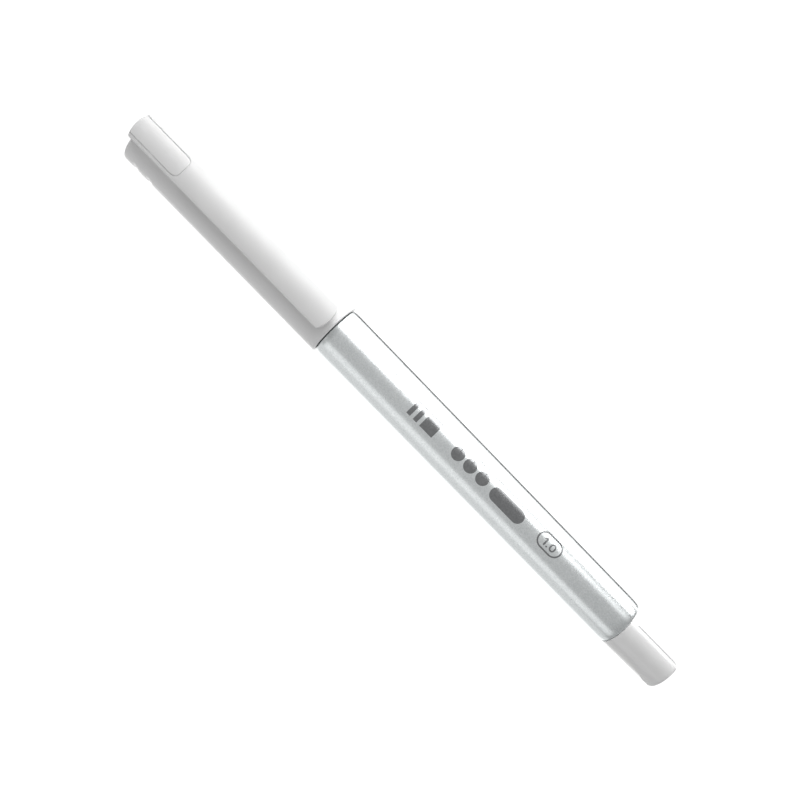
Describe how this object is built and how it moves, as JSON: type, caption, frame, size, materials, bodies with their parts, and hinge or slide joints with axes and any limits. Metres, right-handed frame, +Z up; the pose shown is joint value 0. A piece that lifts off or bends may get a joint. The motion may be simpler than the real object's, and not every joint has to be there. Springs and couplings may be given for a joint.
{
  "type": "capped gel ink pen",
  "caption": "Slim gel ink pen with a pull-off cap, long pocket clip, tapered frosted silver barrel and a flat-flanked white tail plug.",
  "frame": {"origin": "under the middle of the pen, on the surface that the cap rests on", "axes": "+X along the pen towards the tail plug, +Y across it towards the plug's flatter flank, +Z up through the clip"},
  "size_m": [0.15, 0.012, 0.0143],
  "materials": {
    "silver_barrel": "metallic silver lacquer with a fine frosted grain",
    "white_cap": "satin moulded",
    "white_plug": "semi-gloss moulded",
    "dark_plastic": "moulded",
    "grip_rubber": "matte, grooved",
    "bright_metal": "bright",
    "point_metal": "turned nickel silver",
    "spring_steel": "drawn wire",
    "refill_plastic": "translucent",
    "liner_plastic": "natural moulded",
    "seal_rubber": "soft",
    "white_ink": "wet pigment gel",
    "follower_gel": "clear grease"
  },
  "bodies": {
    "barrel": {"barrel_tube": "silver_barrel", "tail_plug": "white_plug", "front_section": "dark_plastic", "grip_sleeve": "grip_rubber", "nose_cone": "bright_metal", "refill_tube": "refill_plastic", "refill_end_plug": "liner_plastic", "ink_column": "white_ink", "tip_holder": "liner_plastic", "writing_point": "point_metal", "ball_spring": "spring_steel"},
    "cap_core": {"inner_cap": "liner_plastic", "tip_seal_pad": "seal_rubber"},
    "cap": {"cap_shell": "white_cap", "cap_end_plug": "white_plug", "clip_root": "white_cap", "clip_panel": "white_cap"},
    "clip": {"clip_blade": "white_cap"},
    "follower": {"ink_follower": "follower_gel"},
    "ball": {"point_ball": "bright_metal"}
  },
  "joints": [
    {"name": "cap_pull", "type": "slide", "parent": "barrel", "child": "cap_core", "axis": [-1, 0, 0], "range_m": [0, 0.06]},
    {"name": "cap_turn", "type": "hinge", "parent": "cap_core", "child": "cap", "pos_m": [-0.0204, 0, 0.00595], "axis": [1, 0, 0], "continuous": true},
    {"name": "clip_flex", "type": "hinge", "parent": "cap", "child": "clip", "pos_m": [-0.06, 0, 0.01345], "axis": [0, -1, 0], "range_deg": [0, 4], "stiffness_Nm_per_rad": 1},
    {"name": "ink_feed", "type": "slide", "parent": "barrel", "child": "follower", "axis": [-1, 0, 0], "range_m": [0, 0.048], "deforming": ["ink_column"]},
    {"name": "ball_roll", "type": "hinge", "parent": "barrel", "child": "ball", "pos_m": [-0.0662, 0, 0.00595], "axis": [0, 1, 0], "continuous": true}
  ]
}
